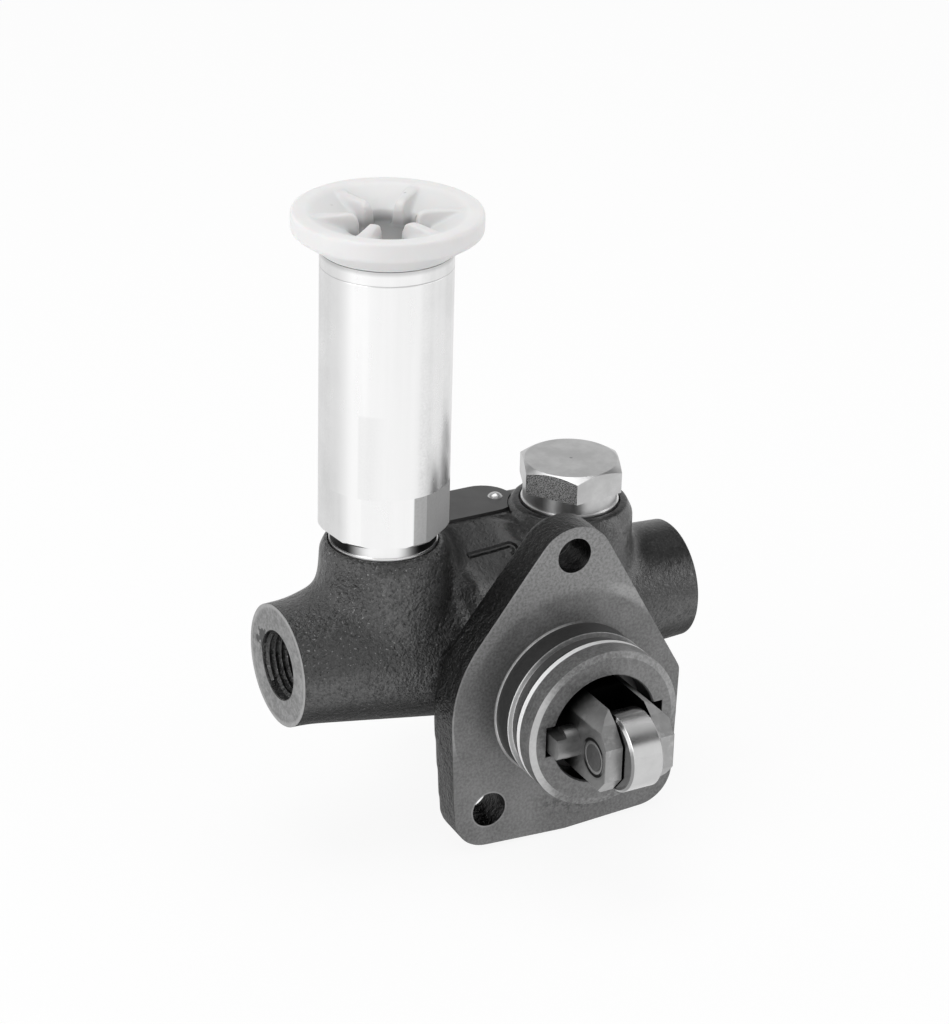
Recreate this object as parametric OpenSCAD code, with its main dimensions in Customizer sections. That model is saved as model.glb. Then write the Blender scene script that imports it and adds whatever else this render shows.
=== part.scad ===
// Piston fuel lift pump with a roller tappet, a hand primer and two valves.
// The origin is the centre of the flange's mounting face, on the tappet axis.
// +Z is up along the primer, -Y points out of the spigot towards the engine.

/* [Flange] */
// Thickness of the mounting flange
flange_t = 9; // [7:0.5:11]
// Radius of the flange's round left shoulder
flange_r = 29.6; // [28:0.2:31]
// Height of the flange's top edge above the axis
flange_top = 42.9; // [42:0.1:45]
// Depth of the flange's bottom edge below the axis
flange_low = 34.4; // [33.6:0.1:36]
// Radius of the flange's top lobe
lobe_r = 9.9; // [9:0.1:10.5]
// Radius of the flange's two lower corners
corner_r = 8.6; // [8:0.1:9.2]
// Diameter of the three bolt holes
bolt_d = 8.4; // [8.2:0.1:9]
// Distance between the two lower bolt holes
bolt_span = 40; // [38:0.5:41]
// Height of the top bolt hole above the axis
bolt_top = 36; // [35:0.5:37]
// Depth of the lower bolt holes below the axis
bolt_low = 24; // [23:0.5:25]

/* [Spigot] */
// Diameter of the pilot that centres the pump
pilot_d = 38; // [36:0.5:40]
// Length of the spigot in front of the flange
spigot_len = 15.75; // [15:0.25:17]
// Width of the groove near the middle of the spigot
groove_w = 3; // [2:0.5:4]
// Depth of the spigot's groove
groove_depth = 1; // [0.5:0.1:1.4]
// Distance from the flange to the groove
groove_at = 5.6; // [5:0.1:7]
// Chamfer on the spigot's front edge
spigot_chamfer = 1.5; // [0.5:0.1:1.8]
// Diameter of the tappet's bore
tappet_bore_d = 26; // [25.5:0.1:27]
// Width of the two keyways in the tappet's bore
keyway_w = 7.5; // [7:0.1:8]
// Distance from the axis to the bottom of a keyway
keyway_x = 15; // [14.5:0.1:15.5]

/* [Tappet] */
// Travel of the tappet
tappet_travel = 8; // [6:0.5:8.5]
// Distance from the flange to the front of the tappet's ears
ear_front = 31; // [30:0.25:32]
// Distance across the tappet's two flats
ear_across = 17.6; // [17:0.1:18]
// Width of the roller's slot
slot_w = 8.8; // [8.4:0.1:9.2]
// Diameter of the turned end that carries the ears
ear_d = 22.4; // [22:0.1:23]
// Diameter of the roller
roller_d = 18; // [17:0.1:18.4]
// Width of the roller
roller_w = 8.2; // [7.6:0.1:8.3]
// Distance from the flange to the roller's axis
roller_at = 26; // [25.75:0.25:26.5]
// Diameter of the roller's pin
roller_pin_d = 8; // [7:0.1:8.2]
// Diameter of the guide pin
guide_pin_d = 7.3; // [6.6:0.1:7.4]
// Distance from the spigot's end to the guide pin's axis
guide_ahead = 1.35; // [0.25:0.1:1.75]
// Distance from the flange to the shoulder behind the ears
shoulder_at = 9; // [8:0.5:10]

/* [Valve bodies and ports] */
// Distance from the flange face to the axes of the valves and ports
valve_y = 27; // [26:0.5:28]
// Distance from the tappet axis to the primer's axis
primer_x = 34; // [33:0.5:35]
// Distance from the tappet axis to the pressure valve's axis
plug_x = 14.2; // [14:0.1:15]
// Height of the port axis above the tappet axis
port_z = 9.5; // [9:0.25:10.5]
// Distance from the tappet axis to the inlet port's face
inlet_x = 60.2; // [59:0.2:62]
// Distance between the faces of the two ports
ports_apart = 102.2; // [101:0.2:105]
// Diameter of the bosses round both ports and both valves
boss_d = 28; // [27:0.5:29]
// Height of the machined tops of the two valve bosses
boss_top = 35.4; // [35:0.1:37]
// Core diameter of the ports' threads
port_core_d = 14.5; // [14:0.1:15]
// Depth of the ports' threads
port_depth = 14; // [12:0.5:15]
// Core diameter of the threads over the valves
chamber_d = 16.5; // [16:0.1:17]
// Height of the valve chambers' floors
chamber_floor = 14; // [14:0.25:15]
// Lift of each valve plate
valve_lift = 1.5; // [1:0.1:2]

/* [Pump chamber] */
// Diameter of the piston
piston_d = 22; // [21:0.2:22.4]
// Length of the piston
piston_len = 14; // [12:0.5:15]
// Diameter of the push rod
rod_d = 6; // [5:0.2:7]
// Outer diameter of the casting round the piston
barrel_d = 39; // [38:0.5:41]
// Distance from the flange face to the casting's rear face
rear_y = 56; // [56:0.5:60]
// Distance across the flats of the rear plug
rear_flats = 27; // [24:1:30]

/* [Hand primer] */
// Diameter of the primer's barrel
primer_d = 29.4; // [28.4:0.2:30]
// Distance across the barrel's hexagon
primer_flats = 27; // [26:0.5:28]
// Height of the barrel's lower edge
primer_low = 39.7; // [39.2:0.1:41]
// Height of the barrel's top edge
primer_top = 105.2; // [100:0.2:108]
// Height of the barrel's hexagon
primer_hex_h = 12; // [8:0.5:15]
// Bore of the primer's barrel
primer_bore_d = 22; // [20:0.5:23]
// Stroke of the hand primer
primer_stroke = 36; // [25:1:38]
// Diameter of the knob
knob_d = 42; // [38:0.5:44]
// Height of the knob
knob_h = 8.8; // [8:0.2:11]
// Depth of the knob's dish at the edge of its well
dish_depth = 3.5; // [3:0.1:4]
// Radius of the well in the middle of the knob
well_r = 9.5; // [8.5:0.1:10.5]
// Thickness of the knob's six ribs
rib_t = 1.4; // [1:0.1:2]

/* [Pressure valve plug and plate] */
// Distance across the flats of the plug's hexagon
plug_flats = 22; // [21:0.5:23]
// Height of the plug's hexagon
plug_hex_h = 6.1; // [5:0.1:8]
// Height of the plug's flat top above the tappet axis
plug_top = 46; // [45:0.2:48]
// Thickness of the seal ring under the plug
seal_t = 1.6; // [1:0.1:2]
// Length of the bare plate on top of the casting
plate_len = 27; // [24:0.5:28]
// Width of the bare plate
plate_w = 14; // [12:0.5:14.5]

/* [Hidden] */
$fa = 5;
$fs = 0.6;
outlet_x = ports_apart - inlet_x;
guide_at = spigot_len + guide_ahead;
// Running clearance of sliding pieces, on the radius
run = 0.04;
// Clearance of a screwed or pressed piece in its hole, on the radius
fit = 0.02;
// Depth of the spot face under each seal ring
spot_depth = 0.6;
spot_r = 12.6;
spot_z = boss_top - spot_depth;
boss_r = boss_d / 2;
// The arm towards the inlet grows and drops by this much before it meets the body
arm_flare = 2.6;
chamber_r = chamber_d / 2;
// Seats pressed into the chamber floors
seat_h = 3;
seat_hole_r = 3.4;
seat_z = chamber_floor + seat_h;
// Valve plates and their springs
valve_r = 6.2;
valve_h = 3;
spring_pocket_r = 5;
spring_top = seat_z + valve_h + 8;
shank_low = seat_z + valve_h + 3.5;
// Tappet bore and tappet
tappet_r = tappet_bore_d / 2 - run;
bore_floor = 9;
tappet_back = bore_floor - tappet_travel - 0.3;
slot_floor = -roller_at + roller_d / 2 + 1;
tappet_floor = slot_floor + 6;
// Pump chamber
piston_r = piston_d / 2 - run;
chamber_front = 17;
piston_y = 20;
piston_floor = 4;
rear_thread = 9;
plug_front = rear_y - rear_thread;
rear_core_r = 12.2;
rear_hex_h = 7;
piston_wall = 2;
duct_r = 2;
// Passage from a port to its valve, and the notch beside the pressure seat
passage_r = 4.5;
notch_r = 2.6;
// Spring sizes: mean radius, wire radius
tappet_spring_size = [8, 0.9];
piston_spring_size = [7.4, 0.8];
valve_spring_size = [3.8, 0.45];
// Primer
primer_r = primer_d / 2;
neck_r = 12;
primer_floor = primer_low + 3;
primer_piston_h = 10;
primer_rod_r = 4;
guide_h = 6;
knob_floor = 2.4;
knob_turn = -20.6;
// Groove of the primer piston and the ring that lies in it
ring_at = 4;
ring_h = 2.4;
ring_w = 2;
// Height of the pad under the bare plate, and the plate's centre
pad_z = 33.6;
plate_right = 4.7;
plate_x = plate_right - plate_len / 2;
plate_y = 38;
plate_t = 0.8;
rivet_r = 2.1;
rivet_sunk = 1.2;
rivet_edge = 4;
// Bridge between the valve bosses: left end, shelf heights and pad in Y
bridge_left = -22;
shelf_low = 24;
shelf_high = 30.5;
pad_front = plate_y - plate_w / 2 - 0.4;
pad_back = plate_y + plate_w / 2 + 0.4;
// Directions of the two hexagons, turned as they were tightened
primer_hex_turn = 36.1;
plug_hex_turn = 6.9;

// Cylinder along +Y from y0 to y1
module rod_y(r, y0, y1) {
    translate([0, y1, 0])
        rotate([90, 0, 0])
            cylinder(r = r, h = y1 - y0);
}

// Cylinder along +X from x0 to x1
module rod_x(r, x0, x1) {
    translate([x0, 0, 0])
        rotate([0, 90, 0])
            cylinder(r = r, h = x1 - x0);
}

// Drilled passage between two points
module duct(a, b, r) {
    d = b - a;
    len = norm(d);
    translate(a)
        rotate([0, acos(d.z / len), atan2(d.y, d.x)])
            cylinder(r = r, h = len);
}

// Hexagonal prism with its top corners chamfered, flats apart by af
module hex_prism(af, h, chamfer = 0) {
    corner = af / sqrt(3);
    intersection() {
        cylinder(r = corner, h = h, $fn = 6);
        if (chamfer > 0)
            rotate_extrude()
                polygon([
                    [0, -1], [corner + 1, -1], [corner + 1, h - chamfer * 2],
                    [af / 2 - 0.35, h], [0, h]
                ]);
    }
}

// Height of a coil spring's wire after t turns: the end turns lie closed
function coil_rise(t, turns, wire, h) =
    let(free = h - 2 * wire, closed = 1.9 * wire)
    t < 1 ? wire + t * closed
    : t > turns - 1 ? wire + free - (turns - t) * closed
    : wire + closed + (t - 1) / (turns - 2) * (free - 2 * closed);

// Coil spring along +Z, size is its mean radius and wire radius
module coil(size, h, turns) {
    mean = size[0];
    wire = size[1];
    sides = 6;
    per_turn = 16;
    rings = turns * per_turn;
    points = [
        for (i = [0 : rings], k = [0 : sides - 1])
            let(a = i * 360 / per_turn, b = k * 360 / sides, r = mean + wire * cos(b))
            [r * cos(a), r * sin(a), coil_rise(i / per_turn, turns, wire, h) + wire * sin(b)]
    ];
    polyhedron(points, concat(
        [[for (k = [0 : sides - 1]) k]],
        [for (i = [0 : rings - 1], k = [0 : sides - 1])
            let(a = i * sides + k, b = i * sides + (k + 1) % sides)
            [a, a + sides, b + sides, b]],
        [[for (k = [sides - 1 : -1 : 0]) rings * sides + k]]
    ));
}

// Outline of the flange in X and Z: top lobe, round left shoulder, sharper right one,
// two lower corners and the belly between them
module flange_outline() {
    shoulder_r = 3;
    corner_lift = 1.2;
    belly_r = 6;
    hull() {
        translate([0, flange_top - lobe_r])
            circle(r = lobe_r);
        intersection() {
            circle(r = flange_r);
            translate([-flange_r, -flange_r / 4])
                square([flange_r, flange_r]);
        }
        translate([flange_r - shoulder_r - 0.3, 0.6])
            circle(r = shoulder_r);
        for (side = [-1, 1])
            translate([side * bolt_span / 2, corner_r + corner_lift - flange_low])
                circle(r = corner_r);
        translate([0, belly_r - flange_low])
            circle(r = belly_r);
    }
}

module flange_plate() {
    translate([0, flange_t, 0])
        rotate([90, 0, 0])
            linear_extrude(height = flange_t)
                flange_outline();
}

// Turned spigot with its groove and front chamfer
module spigot() {
    r = pilot_d / 2;
    rotate([90, 0, 0])
        rotate_extrude()
            difference() {
                polygon([
                    [0, -1], [r, -1], [r, spigot_len - spigot_chamfer],
                    [r - spigot_chamfer, spigot_len], [0, spigot_len]
                ]);
                translate([r - groove_depth, groove_at])
                    square([groove_depth + 1, groove_w]);
            }
}

// Top of a bridge between the valve bosses, seen along X, as points [y, z]
module bridge_side() {
    polygon([
        [flange_t - 1, 2], [flange_t - 1, shelf_low], [valve_y - 4, shelf_high - 1],
        [pad_front - 1, shelf_high], [pad_front, pad_z], [pad_back, pad_z], [pad_back + 2, pad_z - 2],
        [pad_back + 3.6, 20], [pad_back + 3.6, 2]
    ]);
}

// Thin disc of a port's arm at x, lifted by rise and grown by grow
module arm_disc(x, rise, grow = -0.1) {
    translate([x, valve_y, port_z + rise])
        rotate([0, 90, 0])
            cylinder(r = boss_r + grow, h = 0.1, center = true, $fn = 32);
}

// Flare in the corner between a boss and its port, in two straight steps
module corner_flare(x, side, reach) {
    wall = x + side * boss_r;
    hull() {
        arm_disc(wall + side * reach, 0);
        arm_disc(wall + side * reach * 0.45, reach * 0.17);
    }
    hull() {
        arm_disc(wall + side * reach * 0.45, reach * 0.17);
        arm_disc(wall - side, reach * 0.95);
    }
}

module casting() {
    flange_plate();
    spigot();
    // Barrel round the piston and its rear collar
    rod_y(barrel_d / 2, flange_t - 1, rear_y - 5);
    rod_y(barrel_d / 2 - 1.5, rear_y - 6, rear_y);
    // Port arms
    translate([0, valve_y, port_z])
        rod_x(boss_r, -inlet_x, outlet_x);
    // Valve bosses, a hair slimmer than the arms they rise from
    for (x = [-primer_x, plug_x])
        translate([x, valve_y, port_z])
            cylinder(r = boss_r - 0.1, h = boss_top - port_z);
    // Bridge that joins the two bosses and carries the plate
    translate([bridge_left, 0, 0])
        rotate([90, 0, 90])
            linear_extrude(height = plug_x + 4 - bridge_left)
                bridge_side();
    corner_flare(-primer_x, -1, 9);
    corner_flare(plug_x, 1, 8);
    // The inlet's arm drops towards the body
    hull() {
        arm_disc(4.2 - inlet_x, 0);
        arm_disc(10 - primer_x, -arm_flare - 0.1, arm_flare);
    }
}

// Threaded port: mouth chamfer, thread core and inner passage
module port_bore(x, side, inner_x) {
    core = port_core_d / 2;
    translate([0, valve_y, port_z]) {
        rod_x(core, min(x, x - side * port_depth), max(x, x - side * port_depth));
        rod_x(passage_r, min(inner_x, x - side), max(inner_x, x - side));
        translate([x, 0, 0])
            rotate([0, side * 90, 0])
                translate([0, 0, -0.5])
                    cylinder(r1 = core, r2 = core + 1, h = 1);
    }
}

// Everything that is machined out of the casting
module machining() {
    // Bolt holes
    translate([0, 0, bolt_top])
        rod_y(bolt_d / 2, -1, flange_t + 1);
    for (side = [-1, 1])
        translate([side * bolt_span / 2, 0, -bolt_low])
            rod_y(bolt_d / 2, -1, flange_t + 1);
    // Tappet bore with its keyways
    rod_y(tappet_bore_d / 2, -spigot_len - 1, bore_floor);
    translate([-keyway_x, -spigot_len - 1, -keyway_w / 2])
        cube([2 * keyway_x, spigot_len + 2 - guide_at + guide_pin_d / 2 + tappet_travel, keyway_w]);
    // Push rod, piston bore and rear thread
    rod_y(rod_d / 2 + run, bore_floor - 1, chamber_front + 1);
    rod_y(piston_d / 2, chamber_front, plug_front);
    rod_y(rear_core_r, plug_front - 0.5, rear_y + 1);
    // Valve chambers and spot faces
    for (x = [-primer_x, plug_x])
        translate([x, valve_y, 0]) {
            translate([0, 0, chamber_floor])
                cylinder(r = chamber_r, h = boss_top);
            translate([0, 0, spot_z])
                cylinder(r = spot_r, h = boss_top);
        }
    // Ports
    port_bore(-inlet_x, -1, -primer_x);
    port_bore(outlet_x, 1, plug_x + 5.5);
    translate([-primer_x, valve_y, port_z])
        cylinder(r = seat_hole_r, h = chamber_floor - port_z + 1);
    translate([plug_x + chamber_r, valve_y, port_z])
        cylinder(r = notch_r, h = seat_z - port_z + 6);
    // Passages between the valves and the pump chamber
    pump_y = plug_front - 2.5;
    duct([-primer_x + 3, valve_y + 2, seat_z + 3.5], [-6, pump_y, 6], duct_r);
    translate([plug_x, valve_y, chamber_floor - 2.5])
        cylinder(r = seat_hole_r, h = 3);
    duct([plug_x, valve_y, chamber_floor - 1.5], [plug_x, pump_y, chamber_floor - 1.5], duct_r);
    duct([plug_x, pump_y, chamber_floor - 1.5], [4, pump_y, 6], duct_r);
    duct([plug_x, valve_y - chamber_r + 0.6, seat_z + 7], [4, chamber_front + 1.5, 8], duct_r);
}

module housing() {
    color("#3c3d3f")
        difference() {
            casting();
            machining();
        }
}

// Plate with round ends, cut back round the plug's boss
module plate_outline() {
    difference() {
        hull()
            for (side = [-1, 1])
                translate([side * (plate_len - plate_w) / 2, 0])
                    circle(d = plate_w, $fn = 32);
        translate([plug_x - plate_x, valve_y - plate_y])
            circle(r = boss_r + 0.3);
    }
}

module name_plate() {
    color("#4c4d4f")
        translate([plate_x, plate_y, pad_z])
            linear_extrude(height = plate_t)
                plate_outline();
}

module plate_rivets() {
    color("#8d8f91")
        for (side = [-1, 1])
            translate([plate_x + side * (plate_len / 2 - rivet_edge), plate_y, pad_z + plate_t])
                rotate_extrude()
                    intersection() {
                        translate([0, -rivet_sunk])
                            circle(r = rivet_r);
                        square(2 * rivet_r);
                    }
}

// Side of the tappet's ears, as points [y, z]: a blunt front and two slopes above and below
module ear_side() {
    blunt = 4;
    step_z = 8.2;
    step_y = 3.4;
    top_z = 10.8;
    top_y = 7.2;
    polygon([
        [-ear_front, -blunt], [-ear_front, blunt], [step_y - ear_front, step_z],
        [top_y - ear_front, top_z], [0, top_z], [0, -top_z],
        [top_y - ear_front, -top_z], [step_y - ear_front, -step_z]
    ]);
}

// Roller tappet: guided cylinder, slotted ears and a hollow back
module tappet() {
    pin_root = slot_w / 2 + 1.2;
    spring_room = tappet_spring_size[0] + tappet_spring_size[1] + 0.3;
    color("#6e7072")
        difference() {
            union() {
                rod_y(tappet_r, -shoulder_at, tappet_back);
                intersection() {
                    rod_y(ear_d / 2, -ear_front - 1, 1 - shoulder_at);
                    translate([-ear_across / 2, 0, 0])
                        rotate([90, 0, 90])
                            linear_extrude(height = ear_across)
                                ear_side();
                }
            }
            // Slot for the roller
            translate([-slot_w / 2, -ear_front - 1, -tappet_r - 1])
                cube([slot_w, ear_front + 1 + slot_floor, 2 * tappet_r + 2]);
            // Spring pocket
            rod_y(spring_room, tappet_floor, tappet_r);
            // Holes for the two pins
            translate([0, -roller_at, 0])
                rod_x(roller_pin_d / 2 + fit, -ear_across, ear_across);
            translate([0, -guide_at, 0])
                rod_x(guide_pin_d / 2 + fit, -ear_across, -pin_root);
        }
}

module roller_pin() {
    color("#5c5e60")
        translate([0, -roller_at, 0])
            rod_x(roller_pin_d / 2, -ear_across / 2, ear_across / 2);
}

// Guide pin, cut to a tongue where it runs in the keyway
module guide_pin() {
    outer = keyway_x - 0.4;
    tongue_t = 4.8;
    tongue_len = 2.6;
    room = 2 * outer;
    color("#7c7e80")
        intersection() {
            translate([0, -guide_at, 0])
                rod_x(guide_pin_d / 2, -outer, -slot_w / 2 - 1.2);
            union() {
                translate([-outer - 1, -guide_at - room / 2, -tongue_t / 2])
                    cube([room, room, tongue_t]);
                translate([tongue_len - outer, -guide_at - room / 2, -room / 2])
                    cube([room, room, room]);
            }
        }
}

module roller() {
    r = roller_d / 2;
    w = roller_w / 2;
    c = 0.6;
    color("#d4d6d8")
        translate([0, -roller_at, 0])
            rotate([0, 90, 0])
                rotate_extrude()
                    polygon([
                        [roller_pin_d / 2 + run, -w], [r - c, -w], [r, c - w],
                        [r, w - c], [r - c, w], [roller_pin_d / 2 + run, w]
                    ]);
}

module tappet_spring() {
    color("#8a8c8e")
        translate([0, tappet_floor, 0])
            rotate([-90, 0, 0])
                coil(tappet_spring_size, bore_floor - tappet_floor, 5);
}

module push_rod() {
    color("#a9abad")
        rod_y(rod_d / 2, tappet_floor, piston_y);
}

// Piston: a cup open towards the rear plug
module piston() {
    color("#9fa1a3")
        difference() {
            rod_y(piston_r, piston_y, piston_y + piston_len);
            rod_y(piston_r - piston_wall, piston_y + piston_floor, piston_y + piston_len + 1);
        }
}

module piston_spring() {
    y = piston_y + piston_floor;
    color("#8a8c8e")
        translate([0, y, 0])
            rotate([-90, 0, 0])
                coil(piston_spring_size, rear_y - 2 - y, 6);
}

// Rear plug with its hollow screwed shank
module rear_plug() {
    color("#9a9c9e")
        difference() {
            union() {
                rod_y(rear_core_r - fit, plug_front, rear_y + seal_t);
                translate([0, rear_y + seal_t, 0])
                    rotate([-90, 0, 0])
                        hex_prism(rear_flats, rear_hex_h, 1);
            }
            rod_y(piston_spring_size[0] + piston_spring_size[1] + 0.4, plug_front - 1, rear_y - 2);
        }
}

module rear_seal() {
    color("#b4713d")
        translate([0, rear_y + seal_t, 0])
            rotate([90, 0, 0])
                seal_ring(rear_core_r, rear_flats / 2 + 1, seal_t);
}

module seal_ring(inner, outer, t) {
    difference() {
        cylinder(r = outer, h = t);
        translate([0, 0, -1])
            cylinder(r = inner + fit, h = t + 2);
    }
}

module valve_seat(x) {
    translate([x, valve_y, chamber_floor])
        difference() {
            cylinder(r = chamber_r - fit, h = seat_h);
            translate([0, 0, -1])
                cylinder(r = seat_hole_r, h = seat_h + 2);
            if (x > 0)
                translate([chamber_r, 0, -1])
                    cylinder(r = notch_r, h = seat_h + 2);
        }
}

// Valve plate with a peg that centres its spring
module valve_plate(x) {
    translate([x, valve_y, seat_z]) {
        cylinder(r = valve_r, h = valve_h);
        cylinder(r = valve_spring_size[0] - valve_spring_size[1] - 0.5, h = valve_h + 2);
    }
}

module valve_spring(x) {
    translate([x, valve_y, seat_z + valve_h])
        coil(valve_spring_size, spring_top - seat_z - valve_h, 5);
}

module suction_seat() {
    color("#b9a46a")
        valve_seat(-primer_x);
}

module suction_valve() {
    color("#cfcabd")
        valve_plate(-primer_x);
}

module suction_spring() {
    color("#8a8c8e")
        valve_spring(-primer_x);
}

module pressure_seat() {
    color("#b9a46a")
        valve_seat(plug_x);
}

module pressure_valve() {
    color("#cfcabd")
        valve_plate(plug_x);
}

module pressure_spring() {
    color("#8a8c8e")
        valve_spring(plug_x);
}

// Screwed shank with a pocket for the valve spring
module shank(top) {
    difference() {
        translate([0, 0, shank_low])
            cylinder(r = chamber_r - fit, h = top - shank_low);
        translate([0, 0, shank_low - 1])
            cylinder(r = spring_pocket_r, h = spring_top - shank_low + 1);
    }
}

module pressure_plug() {
    collar_top = plug_top - plug_hex_h;
    color("#c3c5c7")
        translate([plug_x, valve_y, 0]) {
            shank(spot_z + seal_t + 0.5);
            translate([0, 0, spot_z + seal_t])
                cylinder(r = plug_flats / 2 - 0.1, h = collar_top - spot_z - seal_t + 0.5);
            translate([0, 0, collar_top])
                rotate([0, 0, plug_hex_turn])
                    hex_prism(plug_flats, plug_hex_h, 0.9);
        }
}

module plug_seal() {
    color("#b7b9bb")
        translate([plug_x, valve_y, spot_z])
            seal_ring(chamber_r, plug_flats / 2 + 0.3, seal_t);
}

// Foot of the barrel: six flats on the round stock, with a chamfered lower edge
module barrel_foot(h) {
    edge = 0.6;
    intersection() {
        rotate_extrude()
            polygon([[0, 0], [primer_r - edge, 0], [primer_r, edge], [primer_r, h], [0, h]]);
        rotate([0, 0, primer_hex_turn])
            hex_prism(primer_flats, h);
    }
}

// Primer barrel: round with a hexagon at its foot, bored from the top
module primer_barrel() {
    color("#dfe1e3")
        translate([-primer_x, valve_y, 0])
            difference() {
                union() {
                    shank(spot_z + seal_t + 0.5);
                    translate([0, 0, spot_z + seal_t])
                        cylinder(r = neck_r, h = primer_low - spot_z - seal_t + 0.5);
                    translate([0, 0, primer_low + primer_hex_h])
                        cylinder(r = primer_r, h = primer_top - primer_low - primer_hex_h);
                    translate([0, 0, primer_low])
                        barrel_foot(primer_hex_h + 0.5);
                }
                translate([0, 0, primer_floor])
                    cylinder(r = primer_bore_d / 2, h = primer_top);
                translate([0, 0, shank_low])
                    cylinder(r = 2.5, h = primer_floor);
            }
}

module primer_seal() {
    color("#b7b9bb")
        translate([-primer_x, valve_y, spot_z])
            seal_ring(chamber_r, neck_r + 0.3, seal_t);
}

// Guide bush pressed into the barrel's mouth
module primer_guide() {
    color("#b9a46a")
        translate([-primer_x, valve_y, primer_top - guide_h])
            difference() {
                cylinder(r = primer_bore_d / 2 - fit, h = guide_h);
                translate([0, 0, -1])
                    cylinder(r = primer_rod_r + run, h = guide_h + 2);
            }
}

// Piston of the hand primer, with a groove for its ring
module primer_piston() {
    r = primer_bore_d / 2 - run;
    color("#a9abad")
        translate([-primer_x, valve_y, primer_floor])
            rotate_extrude()
                difference() {
                    square([r, primer_piston_h]);
                    translate([r - ring_w, ring_at])
                        square([ring_w + 1, ring_h]);
                    translate([-1, 3])
                        square([1 + primer_rod_r + run, primer_piston_h]);
                }
}

module primer_piston_ring() {
    r = primer_bore_d / 2 - run;
    slack = 0.05;
    color("#1f2022")
        translate([-primer_x, valve_y, primer_floor + ring_at + slack])
            rotate_extrude()
                translate([r - ring_w + slack, 0])
                    square([ring_w - slack, ring_h - 2 * slack]);
}

module primer_rod() {
    low = primer_floor + 3.05;
    color("#c3c5c7")
        translate([-primer_x, valve_y, low])
            cylinder(r = primer_rod_r, h = primer_top - low + knob_floor);
}

// Knob: a wheel with a narrow rim, a dish that falls to a well, and six thin ribs
module primer_knob() {
    r = knob_d / 2;
    foot_r = primer_r + 0.1;
    rim_h = 4.2;
    rim_w = 3.3;
    rim_low = knob_h - rim_h;
    color("#e9eae6")
        translate([-primer_x, valve_y, primer_top]) {
            rotate_extrude()
                polygon([
                    [primer_rod_r + fit, 0], [foot_r, 0], [foot_r + 0.5, 0.8], [r - 0.5, rim_low - 0.3],
                    [r, rim_low + 0.3], [r, knob_h - 0.6], [r - 0.6, knob_h], [r - rim_w, knob_h],
                    [well_r, knob_h - dish_depth], [well_r - 0.6, knob_h - dish_depth - 1.2],
                    [well_r - 0.8, knob_floor], [primer_rod_r + fit, knob_floor]
                ]);
            for (i = [0 : 5])
                rotate([0, 0, knob_turn + i * 60])
                    knob_rib(r - rim_w + 0.4);
        }
}

// One rib of the knob: level with the rim, with a rounded inner end that drops into the well
module knob_rib(outer) {
    inner = 6.5;
    low = knob_floor - 0.4;
    high = knob_h - 0.15;
    translate([0, rib_t / 2, 0])
        rotate([90, 0, 0])
            linear_extrude(height = rib_t)
                polygon([
                    [inner, low], [inner, high - 2.6], [inner + 0.3, high - 1.3], [inner + 1, high - 0.5],
                    [inner + 2.2, high], [outer, high], [outer, high - 1], [well_r - 0.3, low]
                ]);
}

housing();
name_plate();
plate_rivets();
tappet();
roller_pin();
guide_pin();
roller();
tappet_spring();
push_rod();
piston();
piston_spring();
rear_plug();
rear_seal();
suction_seat();
suction_valve();
suction_spring();
pressure_seat();
pressure_valve();
pressure_spring();
pressure_plug();
plug_seal();
primer_barrel();
primer_seal();
primer_guide();
primer_piston();
primer_piston_ring();
primer_rod();
primer_knob();
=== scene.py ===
# %% [markdown]
# # A fuel lift pump, cast, machined and dressed
# The solid pieces come from the CAD model and are already in the right place, in metres.
# This notebook gives them their looks. It makes the cast housing again the way a foundry and a
# machine shop would, and it adds the screw threads and the small wear that the solids leave out.
# %% Load the frame
import math
import bmesh
import bpy
from mathutils import Matrix, Vector


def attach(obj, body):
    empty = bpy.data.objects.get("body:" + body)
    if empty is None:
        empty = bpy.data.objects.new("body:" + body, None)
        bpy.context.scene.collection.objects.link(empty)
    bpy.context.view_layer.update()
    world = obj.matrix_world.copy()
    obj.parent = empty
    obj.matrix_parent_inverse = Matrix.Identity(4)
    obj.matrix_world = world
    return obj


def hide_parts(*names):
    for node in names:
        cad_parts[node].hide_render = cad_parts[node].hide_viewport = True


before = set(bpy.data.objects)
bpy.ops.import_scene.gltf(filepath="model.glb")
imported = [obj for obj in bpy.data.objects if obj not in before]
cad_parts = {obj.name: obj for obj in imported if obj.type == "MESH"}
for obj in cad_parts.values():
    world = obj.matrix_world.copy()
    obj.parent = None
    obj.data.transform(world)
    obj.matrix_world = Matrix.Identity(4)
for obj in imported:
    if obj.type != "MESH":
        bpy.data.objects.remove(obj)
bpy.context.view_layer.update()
MM = 0.001

# %% [markdown]
# ## The camera
# The camera stands where the photographer's stood. Its place, its turn and its long lens were
# solved from the outlines of the real pump, so that every piece lands where it should.
# The sensor width belongs to the picture's long side.
# %% Camera
YAW, PITCH, ROLL = -0.5092, 0.4450, 0.0266
forward = Vector((-math.sin(YAW) * math.cos(PITCH), math.cos(YAW) * math.cos(PITCH), -math.sin(PITCH)))
level = Vector((math.cos(YAW), math.sin(YAW), 0))
upward = level.cross(forward)
right = math.cos(ROLL) * level + math.sin(ROLL) * upward
top = -math.sin(ROLL) * level + math.cos(ROLL) * upward
lens = bpy.data.cameras.new("camera")
lens.sensor_width = 36
lens.lens = 119.88
lens.clip_start = 0.02
camera = bpy.data.objects.new("camera", lens)
camera.matrix_world = Matrix.LocRotScale(
    Vector((-351.23, -582.85, 370.47)) * MM,
    Matrix((right, top, -forward)).transposed().to_quaternion(), None)
bpy.context.scene.collection.objects.link(camera)
bpy.context.scene.camera = camera
print("camera at", [round(v, 3) for v in camera.location])

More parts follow.
